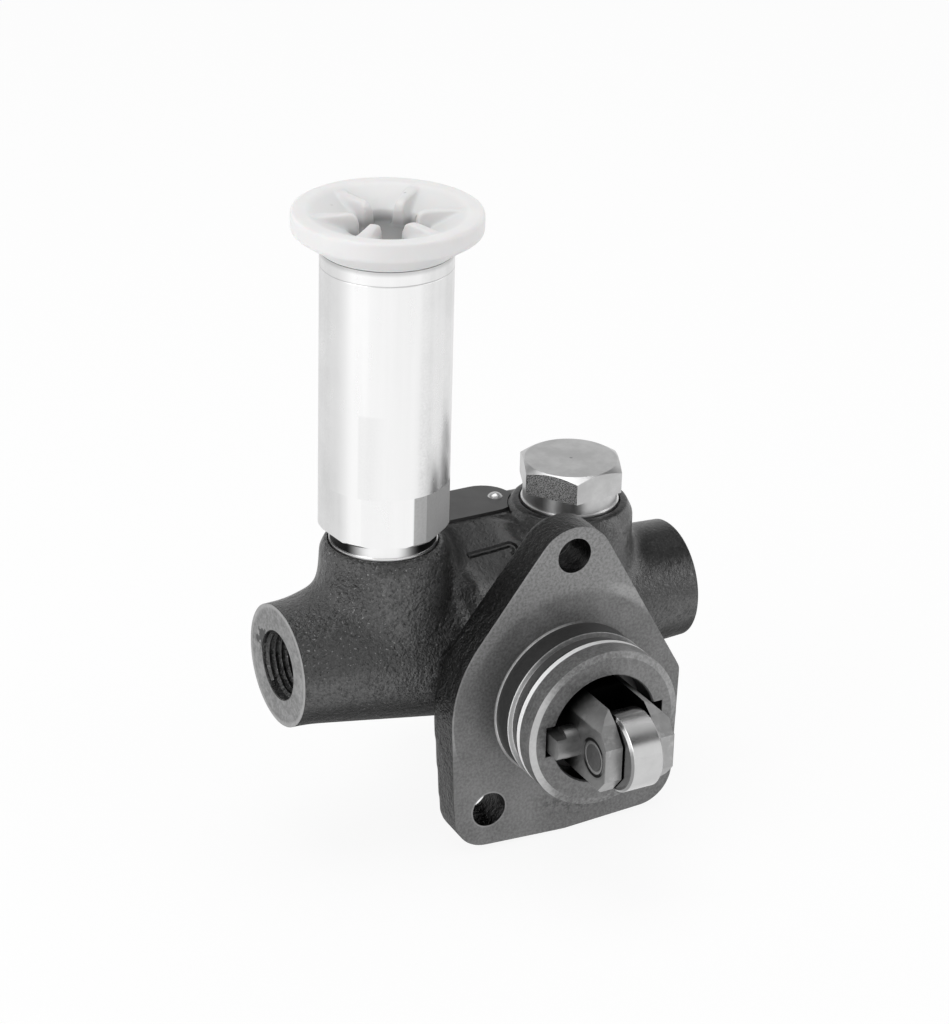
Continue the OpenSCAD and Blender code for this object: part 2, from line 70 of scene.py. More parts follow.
# %% [markdown]
# ## Small helpers for meshes
# Each new piece starts as a bmesh: a spun profile, a disc or a box, which operators then shape.
# A spin needs a few vertices joined by edges. A full turn closes on itself, so its last ring is
# merged with its first, and the normals are worked out again at the end.
# %% Mesh helpers
def finish_piece(name, bm, smooth=0):
    """Turns a bmesh into an object with its faces pointing outwards. Edges sharper than smooth, in
    degrees, stay crisp; with 0 the whole piece is flat shaded."""
    bmesh.ops.remove_doubles(bm, verts=bm.verts, dist=0.002 * MM)
    bmesh.ops.recalc_face_normals(bm, faces=bm.faces)
    mesh = bpy.data.meshes.new(name)
    bm.to_mesh(mesh)
    bm.free()
    piece = bpy.data.objects.new(name, mesh)
    bpy.context.scene.collection.objects.link(piece)
    if smooth:
        mesh.shade_smooth()
        mesh.set_sharp_from_angle(angle=math.radians(smooth))
    print(name, len(mesh.polygons), "faces")
    return piece


AXES = {
    "x": Matrix(((0, 0, 1, 0), (0, 1, 0, 0), (-1, 0, 0, 0), (0, 0, 0, 1))),
    "-x": Matrix(((0, 0, -1, 0), (0, 1, 0, 0), (1, 0, 0, 0), (0, 0, 0, 1))),
    "y": Matrix(((1, 0, 0, 0), (0, 0, 1, 0), (0, -1, 0, 0), (0, 0, 0, 1))),
    "-y": Matrix(((1, 0, 0, 0), (0, 0, -1, 0), (0, 1, 0, 0), (0, 0, 0, 1))),
    "z": Matrix.Identity(4),
}


def add_turned(bm, profile, axis="z", at=(0, 0, 0), steps=96):
    """A lathe: spins a closed profile of (radius, height) pairs, in millimetres, about an axis."""
    place = Matrix.Translation(Vector(at) * MM) @ AXES[axis]
    before = set(bm.verts)
    ring = [bm.verts.new(Vector((r, 0, h)) * MM) for r, h in profile]
    edges = [bm.edges.new(pair) for pair in zip(ring, ring[1:])]
    bmesh.ops.spin(bm, geom=ring + edges, cent=(0, 0, 0), axis=(0, 0, 1), dvec=(0, 0, 0),
                   angle=2 * math.pi, steps=steps, use_merge=True)
    bmesh.ops.transform(bm, matrix=place, verts=[v for v in bm.verts if v not in before])


def add_cylinder(bm, radius, start, end, axis="z", at=(0, 0, 0), end_radius=None):
    """A plain closed cylinder or cone between two heights along an axis, in millimetres."""
    shift = Matrix.Translation((0, 0, (start + end) / 2 * MM))
    bmesh.ops.create_cone(
        bm, cap_ends=True, segments=96, radius1=radius * MM,
        radius2=(radius if end_radius is None else end_radius) * MM, depth=(end - start) * MM,
        matrix=Matrix.Translation(Vector(at) * MM) @ AXES[axis] @ shift)


# %% [markdown]
# ## Shader maths as Python
# A small class wraps a socket, so that `noise * 0.3 + 0.1` adds the Math nodes by itself. Colours
# go through Mix nodes, because a Math node would turn them grey. Every other node comes from one
# method that takes the node's type, its settings and what goes into its sockets.
# %% Shader helpers
class Value:
    """A number that varies over a surface, held as a socket."""

    def __init__(self, kit, socket):
        self.kit, self.socket = kit, socket

    def _maths(self, operation, *others):
        return self.kit.node("ShaderNodeMath", {"operation": operation},
                             {i: v for i, v in enumerate((self,) + others)})

    def __add__(self, other):
        return self._maths("ADD", other)

    __radd__ = __add__

    def __mul__(self, other):
        return self._maths("MULTIPLY", other)

    def __sub__(self, other):
        return self._maths("SUBTRACT", other)

    def __rsub__(self, other):
        return self * -1.0 + other

    def __pow__(self, other):
        return self._maths("POWER", other)

    def smallest(self, other):
        return self._maths("MINIMUM", other)

    def largest(self, other):
        return self._maths("MAXIMUM", other)

    def size(self):
        return self._maths("ABSOLUTE")

    def step(self, low, high):
        """0 below low and 1 above high, with a soft edge between; high may be below low."""
        return self.kit.node("ShaderNodeMapRange", {"interpolation_type": "SMOOTHSTEP"},
                             {"Value": self, "From Min": low, "From Max": high})


class Material:
    """A node tree with one Principled shader."""

    def __init__(self, name, **constants):
        self.material = bpy.data.materials.new(name)
        self.material.use_nodes = True
        self.tree = self.material.node_tree
        self.shader = self.tree.nodes["Principled BSDF"]
        for socket, number in constants.items():
            self.shader.inputs[socket.replace("_", " ")].default_value = number
        self.place = self.node("ShaderNodeTexCoord", {}, {}, "Object")

    def node(self, kind, settings, inputs, output=0):
        made = self.tree.nodes.new(kind)
        for key, setting in settings.items():
            setattr(made, key, setting)
        for key, item in inputs.items():
            if isinstance(item, Value):
                self.tree.links.new(item.socket, made.inputs[key])
            else:
                made.inputs[key].default_value = item
        return Value(self, made.outputs[output])

    def noise(self, scale, detail=4.0, roughness=0.55, stretch=(1, 1, 1)):
        """Noise from 0 to 1. Scale counts the blotches in a metre; stretch counts them per axis."""
        spot = self.node("ShaderNodeMapping", {"vector_type": "POINT"},
                         {"Vector": self.place, "Scale": stretch})
        return self.node("ShaderNodeTexNoise", {"noise_dimensions": "3D"},
                         {"Vector": spot, "Scale": scale, "Detail": detail, "Roughness": roughness},
                         "Fac")

    def axis(self, letter, start=0):
        """The place along one axis of the pump, in metres from a start in millimetres."""
        place = self.node("ShaderNodeSeparateXYZ", {}, {"Vector": self.place}, letter)
        return place - start * MM if start else place

    def facing(self, letter):
        """How far a surface faces along an axis, from -1 to 1, before any bump."""
        geometry = self.node("ShaderNodeNewGeometry", {}, {}, "True Normal")
        return self.node("ShaderNodeSeparateXYZ", {}, {"Vector": geometry}, letter)

    def blend(self, factor, first, second):
        """A colour that goes from first to second."""
        def colour(c):
            return (c, c, c, 1) if isinstance(c, (int, float)) else c
        mix = self.tree.nodes.new("ShaderNodeMix")
        mix.data_type = "RGBA"
        for i, item in ((0, factor), (6, colour(first)), (7, colour(second))):
            socket = mix.inputs[i]
            if isinstance(item, Value):
                self.tree.links.new(item.socket, socket)
            else:
                socket.default_value = item
        return Value(self, mix.outputs[2])

    def bump(self, height, depth, strength=1.0, below=None):
        """Raised detail; depth is the height in millimetres that a value of 1 stands for."""
        inputs = {"Height": height, "Distance": depth * MM, "Strength": strength}
        if below is not None:
            inputs["Normal"] = below
        return self.node("ShaderNodeBump", {}, inputs)

    def feed(self, **links):
        for socket, item in links.items():
            self.tree.links.new(item.socket, self.shader.inputs[socket.replace("_", " ")])
        return self.material


def between(value, low, high, soft=0.06):
    """1 where a value lies between two places, in millimetres."""
    return value.step((low - soft) * MM, low * MM) * value.step((high + soft) * MM, high * MM)


def distance(across, along):
    """How far a point is from an axis, from its two steps at right angles to the axis."""
    return (across * across + along * along) ** 0.5


def nearest(points, across, along):
    """How far the nearest of some points is; each point is a pair, in millimetres."""
    found = None
    for a, b in points:
        gap = distance(across - a * MM, along - b * MM)
        found = gap if found is None else found.smallest(gap)
    return found


def paint(material, *names):
    """Gives a material to CAD nodes, by name, in place of their plain colour."""
    for name in names:
        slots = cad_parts[name].data.materials
        slots.clear()
        slots.append(material)


print("helpers ready")

# %% [markdown]
# ## The housing, first as a casting
# The real housing is poured into a sand mould, so every inner corner is a wide soft valley. A few
# overlapping cylinders and a block, melted together by a voxel remesh and then smoothed many times,
# give such valleys. Smoothing shrinks round shapes a little, so these start a little larger.
# Places that later steps need again have names, in millimetres from the middle of the flange's face.
# %% Named places
PORT_Y, PORT_Z = 27, 9.5
INLET_FACE, OUTLET_FACE = 60.2, 42
PRIMER_X, PLUG_X = -34, 14.2
PLATE_Z = 33.6
KNOB_Z = 105.2
PIN_Y = -26
BOLT_HOLES = (0, 36), (-20, -24), (20, -24)
print("arms end at", -INLET_FACE, "and", OUTLET_FACE)

# %% [markdown]
# The first three tools do the foundry's and the workshop's work: they melt shells together, apply
# what was set up, and cut one piece with another. The rest add plain shapes to a bmesh.
# %% Foundry and workshop tools
def melt(piece, voxel, rounds):
    """Joins overlapping shells into one skin and smooths it."""
    remesh = piece.modifiers.new("melt", "REMESH")
    remesh.mode = "VOXEL"
    remesh.voxel_size = voxel * MM
    soften = piece.modifiers.new("soften", "SMOOTH")
    soften.factor = 0.5
    soften.iterations = rounds
    harden(piece)


def harden(piece):
    """Applies a piece's modifiers to its mesh."""
    bpy.context.view_layer.update()
    depsgraph = bpy.context.evaluated_depsgraph_get()
    mesh = bpy.data.meshes.new_from_object(piece.evaluated_get(depsgraph))
    old = piece.data
    piece.modifiers.clear()
    piece.data = mesh
    bpy.data.meshes.remove(old)


def machine(piece, tool, operation="DIFFERENCE"):
    """Cuts a tool out of a piece, or adds it, and throws the tool away."""
    cut = piece.modifiers.new("cut", "BOOLEAN")
    cut.operation = operation
    cut.solver = "MANIFOLD"
    cut.object = tool
    harden(piece)
    bpy.data.objects.remove(tool)


def add_block(bm, low, high):
    """A box between two corners, in millimetres."""
    middle = (Vector(low) + Vector(high)) / 2 * MM
    size = (Vector(high) - Vector(low)) * MM
    bmesh.ops.create_cube(bm, size=1, matrix=Matrix.LocRotScale(middle, None, size))


def add_prism(bm, outline, start, end):
    """Extrudes an outline of (y, z) points along x, in millimetres."""
    face = bm.faces.new([bm.verts.new(Vector((start, y, z)) * MM) for y, z in outline])
    grown = bmesh.ops.extrude_face_region(bm, geom=[face])["geom"]
    bmesh.ops.translate(bm, vec=Vector((end - start, 0, 0)) * MM,
                        verts=[g for g in grown if isinstance(g, bmesh.types.BMVert)])


def add_circle(bm, radius, axis, at, segments):
    """The rim of a disc across an axis, in millimetres, as a list of vertices."""
    return bmesh.ops.create_circle(
        bm, cap_ends=False, segments=segments, radius=radius * MM,
        matrix=Matrix.Translation(Vector(at) * MM) @ AXES[axis])["verts"]


def add_flange(bm, start, end):
    """The flange as the convex hull of the round lobes that its outline runs around.

    The left shoulder is a long arc about the middle. Cast draft makes the outline grow from the
    front face to the back at the shoulder, by `draft`, while the left lobe moves in, by `low`.
    """
    corners = []
    for y, draft, low in ((start, 0.35, 0.3), (end, 0.75, -0.15)):
        for x, z, radius in ((0, 33, 9.9), (-20 - low, -24.6, 8.5), (20, -24.6, 8.6),
                             (0, -28.2, 6), (26.3, 0.6, 3)):
            corners += add_circle(bm, radius, "y", (x, y, z), 72)
        shoulder = add_circle(bm, 29.6 + draft, "y", (0, y, 0), 160)
        keep = [v for v in shoulder if v.co.x < 0 and -7.4 * MM < v.co.z < 22.2 * MM]
        bmesh.ops.delete(bm, geom=[v for v in shoulder if v not in keep], context="VERTS")
        corners += keep
    hull = bmesh.ops.convex_hull(bm, input=corners)
    buried = [g for g in hull["geom_interior"] if isinstance(g, bmesh.types.BMVert)]
    bmesh.ops.delete(bm, geom=buried, context="VERTS")
    loose = [e for e in bm.edges if not e.link_faces]
    bmesh.ops.delete(bm, geom=loose, context="EDGES")


def add_flare(bm, *discs):
    """The convex hull of upright discs across the arms; each disc is (x, height, radius)."""
    corners = []
    for x, z, radius in discs:
        corners += add_circle(bm, radius, "x", (x, PORT_Y, z), 64)
    bmesh.ops.convex_hull(bm, input=corners)


print("tools ready")

# %% [markdown]
# The arms, the two bosses and the barrel are cylinders and cones. The shelf between the bosses is
# two prisms, because its rear edge runs further forward beside the plug's boss. Two flares fill
# the foot of the left arm, where the casting swells towards the primer's boss.
# %% Pour the lump
bm = bmesh.new()
add_cylinder(bm, 14.35, -76, 0, "x", (0, PORT_Y, PORT_Z))
add_cylinder(bm, 16.3, -1, 58, "x", (0, PORT_Y, PORT_Z), end_radius=13.35)
for x, radius, top in ((PRIMER_X, 15.5, 13.9), (PLUG_X, 14.8, 14.8)):
    add_cylinder(bm, radius, PORT_Z, 50, "z", (x, PORT_Y, 0), end_radius=top)
add_cylinder(bm, 20.1, 4, 56, "y")
add_block(bm, (-16, 12, 0), (16, 48, 24))
shelf_front = [(8, 2), (8, 23.6), (23, 29.8), (29.6, 32.9), (31, 34)]
add_prism(bm, shelf_front + [(45.4, 34), (48, 32), (49.5, 20), (49.5, 2)], -19, 4)
add_prism(bm, shelf_front + [(40, 34), (45, 30), (49, 20), (49.5, 2)], 3, 18.2)
add_flare(bm, (-58, PORT_Z, 14.2), (-46, PORT_Z - 0.1, 15.7), (-40, PORT_Z - 0.6, 16.2),
          (-20, PORT_Z - 3, 17.4))
add_flare(bm, (-51, PORT_Z + 0.7, 15.0), (-48.8, PORT_Z + 1.6, 14.9))
lump = finish_piece("lump", bm)
melt(lump, 1.2, 36)
print("lump", len(lump.data.vertices))

# %% [markdown]
# The second stage adds what keeps crisper edges: the flange plate, the shelf between the bosses
# and the boss tops. A finer melt and a few gentle rounds of smoothing leave small cast radii.
# %% Add the flange and the shelf
bm = bmesh.new()
add_block(bm, (-90, -40, 33.3), (90, 90, 90))
machine(lump, finish_piece("top_cutter", bm))
bm = bmesh.new()
bm.from_mesh(lump.data)
bpy.data.objects.remove(lump)
add_flange(bm, -2.5, 9)
for x, radius in ((PRIMER_X, 15.0), (PLUG_X, 14.4)):
    add_cylinder(bm, radius, 16, PLATE_Z, "z", (x, PORT_Y, 0), end_radius=14.38)
    add_cylinder(bm, 14.38, 33.5, 35.9, "z", (x, PORT_Y, 0), end_radius=13.3)
add_block(bm, (-18, 31.4, 20), (2, 45, 34.3))
add_cylinder(bm, 18.1, 50, 58, "y")
casting = finish_piece("casting", bm)
melt(casting, 0.65, 5)
print("casting", len(casting.data.vertices))

# %% [markdown]
# ## Then the machining
# The machine shop faces the flange, the ports and the pads, turns the spigot and drills the bores.
# A difference with a tool body does the same here, so those faces come out flat and crisp.
# The cut for the plate's pad leaves a guard round each boss, so it stops short of their walls.
# %% Face and turn
bm = bmesh.new()
add_block(bm, (-60, -30, -60), (60, 0, 60))
machine(casting, finish_piece("facing_cut", bm))
bm = bmesh.new()
add_block(bm, (-90, -40, -60), (-INLET_FACE, 90, 60))
add_block(bm, (OUTLET_FACE, -40, -60), (90, 90, 60))
add_block(bm, (-90, 56, -60), (90, 90, 60))
machine(casting, finish_piece("end_cuts", bm))
bm = bmesh.new()
add_block(bm, (-40, 29, PLATE_Z), (12, 50, 60))
pad_cut = finish_piece("pad_cut", bm)
for x in (PRIMER_X, PLUG_X):
    bm = bmesh.new()
    add_cylinder(bm, 14.15, 20, 70, "z", (x, PORT_Y, 0))
    machine(pad_cut, finish_piece("boss_guard", bm))
machine(casting, pad_cut)
print("faced", len(casting.data.vertices))

# %% [markdown]
# The spigot's profile gives (radius, distance from the flange face): a land behind the groove that
# ends in a thin wall, the groove, the front land and a flat chamfer.
# %% Turn the spigot
spigot_profile = [(0, -1.5), (18.9, -1.5),
                  (18.9, 5.3), (19, 5.35), (19, 5.6), (18.9, 5.7),
                  (17.9, 5.72), (17.9, 9.3),
                  (18.9, 9.35), (19, 9.45), (19, 15.4),
                  (17.5, 15.72), (17.3, 15.75), (0, 15.75)]
bm = bmesh.new()
add_turned(bm, spigot_profile, "-y", steps=160)
machine(casting, finish_piece("spigot", bm), "UNION")
print("turned", len(casting.data.vertices))

# %% [markdown]
# One profile bores the whole length: the tappet's bore, the rod's narrow hole, the piston's bore
# and the rear plug's seat. The keyway and the two valve chambers follow.
# %% Drill and bore
bm = bmesh.new()
for x, z in BOLT_HOLES:
    add_cylinder(bm, 4.2, -2, 12, "y", (x, 0, z))
add_turned(bm, [(0, -16.5), (13.9, -16.5), (13, -15.3), (13, 9), (3.04, 9.01), (3.04, 17), (11, 17.01),
                (11, 46.5), (12.2, 46.51), (12.2, 57), (0, 57)], "y", steps=128)
machine(casting, finish_piece("bores", bm))
bm = bmesh.new()
add_block(bm, (-15, -17, -3.75), (15, -3.7, 3.75))
machine(casting, finish_piece("keyway", bm))
for x, spot in ((PRIMER_X, 12.6), (PLUG_X, 11.7)):
    bm = bmesh.new()
    add_turned(bm, [(0, 14), (8.25, 14), (8.25, 34.79), (spot, 34.8), (spot + 0.3, 40), (0, 40)],
               "z", (x, PORT_Y, 0))
    machine(casting, finish_piece("chamber", bm))
print("bored", len(casting.data.vertices))

# %% [markdown]
# Each port is a plain bore with a short chamfer. Its thread is a separate ridge: a small triangle
# spun about the port's axis while it moves along it by the pitch at each turn.
# %% Ports and their threads
PITCH, TURNS, TURN_STEPS = 1.5, 7.4, 40
for axis, face, inner in (("-x", INLET_FACE, 36), ("x", OUTLET_FACE, 20)):
    bm = bmesh.new()
    add_turned(bm, [(0, inner), (4.5, inner), (4.5, face - 16), (7.25, face - 14), (7.95, face - 13.9),
                    (7.95, face - 0.2), (8.3, face + 0.1), (8.3, face + 2), (0, face + 2)],
               axis, (0, PORT_Y, PORT_Z))
    machine(casting, finish_piece("port", bm))
for name, axis, face in (("inlet_thread", "-x", INLET_FACE), ("outlet_thread", "x", OUTLET_FACE)):
    bm = bmesh.new()
    ridge = [bm.verts.new(Vector((r, 0, h)) * MM) for r, h in ((8.1, -0.7), (8.1, 0.7), (7.3, 0.0))]
    edges = [bm.edges.new(pair) for pair in zip(ridge, ridge[1:] + ridge[:1])]
    bmesh.ops.spin(bm, geom=ridge + edges, cent=(0, 0, 0), axis=(0, 0, 1),
                   dvec=(0, 0, PITCH / TURN_STEPS * MM), angle=2 * math.pi * TURNS,
                   steps=round(TURNS * TURN_STEPS), use_merge=False)
    bmesh.ops.holes_fill(bm, edges=[e for e in bm.edges if len(e.link_faces) == 1], sides=3)
    port = Matrix.Translation(Vector((0, PORT_Y, PORT_Z)) * MM) @ AXES[axis]
    start = Matrix.Translation((0, 0, (face - 12.3) * MM))
    bmesh.ops.transform(bm, matrix=port @ start, verts=bm.verts)
    thread = finish_piece(name, bm, smooth=50)
    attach(thread, "pump_body")

# %% [markdown]
# The finished casting takes the place of the CAD's housing and stays on the same body.
# %% Hand over the housing
casting.name = casting.data.name = "cast_housing"
casting.data.shade_smooth()
casting.data.set_sharp_from_angle(angle=math.radians(32))
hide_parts("housing")
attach(casting, "pump_body")
print("housing", len(casting.data.polygons), "faces")

# %% [markdown]
# ## The knob
# The knob was moulded, so its six ribs flow into the dish and the rim. A spun wheel and six webs
# are melted together in the same way as the casting, only finer. Each web is a wedge that widens
# towards the dish; its points are (radius, height, half of the thickness).
# %% Knob
wheel = [(4.2, 0), (14.75, 0), (15.3, 0.8), (20.6, 4.3), (21, 4.8), (21, 8.4), (20.6, 8.85),
         (17.8, 8.8), (9.6, 5.3), (9.0, 4.1), (8.8, 2.7), (0, 2.7), (0, 1.9), (4.2, 1.9), (4.2, 0)]
web = [(6.3, 2.2, 1.6), (6.3, 6.2, 1.2), (6.7, 7.4, 1.05), (7.5, 8.1, 1),
       (8.8, 8.4, 1), (18.3, 8.4, 1), (18.3, 7.5, 2), (9.2, 2.2, 2.8)]
FIRST_RIB = -18.1
bm = bmesh.new()
add_turned(bm, wheel, "z", (PRIMER_X, PORT_Y, KNOB_Z))
centre = Matrix.Translation(Vector((PRIMER_X, PORT_Y, KNOB_Z)) * MM)
for rib in range(6):
    turn = centre @ Matrix.Rotation(math.radians(rib * 60 + FIRST_RIB), 4, "Z")
    near, far = [[bm.verts.new(turn @ (Vector((r, side * half, h)) * MM)) for r, h, half in web]
                 for side in (-1, 1)]
    bm.faces.new(near)
    bm.faces.new(far[::-1])
    for i in range(len(web)):
        j = (i + 1) % len(web)
        bm.faces.new((near[j], near[i], far[i], far[j]))
knob = finish_piece("moulded_knob", bm)
melt(knob, 0.36, 7)
knob.data.shade_smooth()
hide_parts("primer_knob")
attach(knob, "primer_knob")
print("knob", len(knob.data.polygons), "faces")

# %% [markdown]
# ## Finishes
# ### Cast iron
# Two things share one piece of iron: the rough dark skin of the mould, and the bright faces that
# were cut after it. The machined faces lie on known planes, so the place on the pump tells the
# shader which of the two it is. Noise of many sizes makes the sand grain, the blotches and stains.
# %% Cast iron noise
iron = Material("cast_iron", Specular_IOR_Level=0.8)
x, y, z = (iron.axis(letter) for letter in "XYZ")
front, up = iron.facing("Y"), iron.facing("Z")
sand = iron.noise(1500, detail=2.5, roughness=0.6)
lumps = iron.noise(480, detail=3, roughness=0.6)
soot = iron.noise(60, detail=3)
fleck = iron.noise(1900, detail=1).step(0.66, 0.76)
pit = iron.noise(1250, detail=1).step(0.34, 0.27)
scuff = iron.noise(38, detail=5, roughness=0.65).step(0.45, 0.68)
turning = iron.noise(1, detail=2, stretch=(300, 7000, 300))
wobble = (iron.noise(160, detail=4) - 0.5) * 0.35 * MM
print("noise ready")

# %% [markdown]
# A mask is 1 on one part of the iron and 0 elsewhere. The first ones tell the machined faces from
# the skin, and find skin that looks down, lies level, runs round the flange's side band or faces
# the front.
# %% Masks for faces and skin
faced = y.step(0.12 * MM, 0.04 * MM)
ends = x.step((0.15 - INLET_FACE) * MM, (0.05 - INLET_FACE) * MM)
ends = ends.largest(x.step((OUTLET_FACE - 0.15) * MM, (OUTLET_FACE - 0.05) * MM))
cut = faced.largest(ends)
from_axis = distance(x, z)
turned = from_axis.step(17.3 * MM, 17.5 * MM) * from_axis.step(19.3 * MM, 19.1 * MM)
turned = turned * y.step(-0.1 * MM, -0.2 * MM)
# Painted shade goes on skin that looks down, lies level on the shelf or runs round the flange's side
# band.
shade_below = up.step(-0.05, -0.65)
level = up.step(0.5, 0.8) * y.step(13 * MM, 15 * MM) * x.step(-20 * MM, -17 * MM)
coarse = (x.step(-12 * MM, -26 * MM) * 0.6 + 0.4) * (1 - level * 0.6)
side = between(y, 0.3, 8.6, soft=0.2) * front.size().step(0.7, 0.5) * (1 - turned)
side = side * from_axis.step(14 * MM, 15 * MM)
# Painted highlight on skin that faces the front, broken up by the sand grain.
front_highlight = up.step(-0.50, -0.22) * up.step(0.30, -0.02) * front.step(-0.60, -0.93)
front_highlight = front_highlight * (1 - cut) * (1 - turned)
hole = nearest(BOLT_HOLES, x, z)
print("masks for faces and skin")

# %% [markdown]
# The spigot's rings follow its profile: the land behind the groove is dark, the groove floor is
# painted darker as shade, and a painted shadow line runs at the foot of the lip. Its thin wall and the
# lip in front of the groove carry painted highlights. The flange's left edge carries a painted
# highlight too; it is an arc about the middle, then a straight slant whose normal is (-0.794, 0.6076).
# The inside of the bore is painted black as shade.
# %% Masks for the spigot and the flange's edge
WALL_Y, FLOOR_Y, LIP_Y = -5.84, -9.4, -9.72
dark_land = turned * between(y, -5.45, -0.25)
ridge_wall = turned * between(y, WALL_Y, -5.52)
# Painted shade: the groove floor, a line at the lip's foot and the inside of the bore.
groove_floor = turned * between(y, FLOOR_Y, WALL_Y)
groove_shadow_line = turned * between(y + wobble, LIP_Y, -9.36)
front_ridge = turned * between(y + wobble * 0.5, -10.95, LIP_Y, soft=0.2)
root_line = faced * from_axis.step(19.45 * MM, 19.3 * MM) * y.step(-0.25 * MM, -0.15 * MM)
chamfer = y.step(-15.3 * MM, -15.36 * MM) * from_axis.step(17.35 * MM, 17.5 * MM)
bore_shade = from_axis.step(15.7 * MM, 15.6 * MM) * between(y, -15.1, 12, soft=0.5)
leftward, far_left = x.step(6 * MM, -17 * MM), x.step(-10 * MM, -17 * MM)
upper = z.step(-13 * MM, -4 * MM) * 0.75 + 0.25
slant = z.step(17 * MM, 19 * MM)
to_edge = from_axis * (1 - slant) + (z * 0.6076 - x * 0.794) * slant
left_edge = faced * to_edge.step(29.5 * MM, 29.75 * MM)
left_edge = left_edge * x.step(-2 * MM, -6 * MM) * z.step(-14 * MM, -2 * MM)
print("masks for the spigot and the edge")

# %% [markdown]
# The skin is dark, with pale flecks and black pits where the sand was coarse. Painted shade makes it
# darker where it looks down, on the level shelf, round the flange's side band and in the bolt holes,
# and a painted highlight makes it glitter where it faces the front.
# %% Skin tones
highlight_grain = sand.step(0.35, 0.65) * 0.6 + lumps.step(0.35, 0.65) * 0.3
skin_tone = iron.blend(sand.step(0.32, 0.72) * 0.7 + soot * 0.4, 0.010, 0.045)
skin_tone = iron.blend(fleck * coarse * 0.8, skin_tone, 0.26)
skin_tone = iron.blend(pit * coarse * 0.9, skin_tone, 0.006)
skin_tone = iron.blend(shade_below * 0.5, skin_tone, 0.008)
skin_tone = iron.blend(front_highlight * highlight_grain, skin_tone, 0.11)
skin_tone = iron.blend(side * 0.55, skin_tone, 0.022)
skin_tone = iron.blend(level * 0.6, skin_tone, 0.012)
# Painted shade inside the bolt holes.
skin_tone = iron.blend(hole.step(4.3 * MM, 4.25 * MM) * between(y, 0.3, 9.5), skin_tone, 0.006)
print("skin tones ready")

# %% [markdown]
# The machined faces are paler. The upper lobe and an arc beside the spigot are rubbed, and oil has
# left grime below the spigot. The ends of the arms are blotchy, with one chip, and a painted highlight
# rings their outer edge.
# %% Face and end tones
lobe = from_axis.step(25.5 * MM, 28 * MM) * z.step(6 * MM, 18 * MM)
arc = between(from_axis, 27, 28.6, soft=1.2) * x.step(7 * MM, 14 * MM) * z.step(17 * MM, 20 * MM)
grime = distance(x - 4 * MM, (z + 26 * MM) * 2.2).step(17 * MM, 5 * MM)
grime = grime * iron.noise(620, detail=4, roughness=0.7).step(0.44, 0.60) * faced
face_tone = iron.blend(scuff * 0.5 + sand.step(0.3, 0.7) * 0.6, 0.12, 0.245)
face_tone = iron.blend(lobe * (sand.step(0.3, 0.7) * 0.6 + 0.2), face_tone, 0.30)
face_tone = iron.blend(arc * (scuff * 0.5 + sand * 0.4), face_tone, 0.50)
face_tone = iron.blend(grime * 0.6, face_tone, 0.04)
from_port = distance(y - PORT_Y * MM, z - PORT_Z * MM)
chip = distance(y - 34.9 * MM, z - 12.6 * MM) + (lumps - 0.5) * 6 * MM
end_tone = iron.blend(sand.step(0.3, 0.7) * 0.5 + scuff * 0.6 + (lumps - 0.5) * 1.6, 0.13, 0.33)
# A painted highlight rings the outer edge of each arm's end face.
end_tone = iron.blend(from_port.step(12.9 * MM, 13.6 * MM) * 0.5, end_tone, 0.42)
end_tone = iron.blend(chip.step(2.8 * MM, 2.5 * MM), end_tone, 0.015)
face_tone = iron.blend(ends, face_tone, end_tone)
print("face tones ready")

# %% [markdown]
# Rings, rims and edges go on top of the faces, in this order. The narrow bright ones are painted
# highlights, stronger towards the left and the top; the groove, the lip's foot and the bore get
# painted shade.
# %% Ring and rim tones
# Weights of the painted highlights: stronger on the left and towards the top.
wall_highlight = far_left * 0.7 + 0.22 + (scuff - 0.5) * 0.3
chamfer_highlight = far_left * 0.75 + 0.18 + (scuff - 0.5) * 0.25 + (sand - 0.5) * 0.3
root_highlight = upper * (scuff * 0.4 + 0.6) * x.step(4 * MM, -8 * MM)
rim = hole.step(4.65 * MM, 4.45 * MM) * faced
for mask, ring_tone in ((dark_land * 0.9, 0.045),
                        (groove_floor * 0.8, 0.085),
                        (ridge_wall * upper * wall_highlight, 1.0),
                        (front_ridge * (leftward * 0.4 + 0.6), 1.0),
                        (groove_shadow_line, 0.012),
                        (root_line * root_highlight, 0.95),
                        (left_edge * (scuff * 0.4 + 0.2), 0.55),
                        (chamfer * chamfer_highlight, 0.62),
                        (rim * (scuff * 0.6 + 0.1), 0.40),
                        (bore_shade, 0.004)):
    face_tone = iron.blend(mask, face_tone, ring_tone)
print("rings and rims ready")

# %% [markdown]
# Relief comes from the sand, the lumps and the lathe, and from a short cast bead with a hooked end
# on the shelf. Bare faces are more metallic than skin.
# %% Cast iron relief and metal
bead = (y - x * 0.06 - 22.8 * MM + wobble).size().step(0.95 * MM, 0.1 * MM)
bead = bead * between(x, -14.8, -4.6, soft=0.4)
hook = (distance(x + 4.6 * MM, y - 21.1 * MM) - 1.4 * MM).size().step(0.95 * MM, 0.1 * MM)
hook = hook * x.step(-5 * MM, -4.5 * MM) * y.step(19.6 * MM, 20.4 * MM)
relief = iron.bump(bead.largest(hook) * z.step(24 * MM, 25 * MM), 0.7, 1.0)
relief = iron.bump(lumps * (1 - cut) * coarse, 0.65, 1.0, below=relief)
relief = iron.bump((sand * 0.8 - pit * 0.5) * (1 - cut) * coarse, 0.45, 1.0, below=relief)
relief = iron.bump(sand * cut, 0.05, 0.8, below=relief)
relief = iron.bump(turning * turned, 0.02, 0.6, below=relief)
skin_rough = 0.35 + (sand - 0.5) * 0.3 + shade_below * 0.25
face_rough = 0.45 + (scuff - 0.5) * 0.15 + (sand - 0.5) * 0.2
rough = skin_rough * (1 - cut) + face_rough * cut
sheen = shade_below.largest(side).largest(level * 0.6) * (1 - cut)
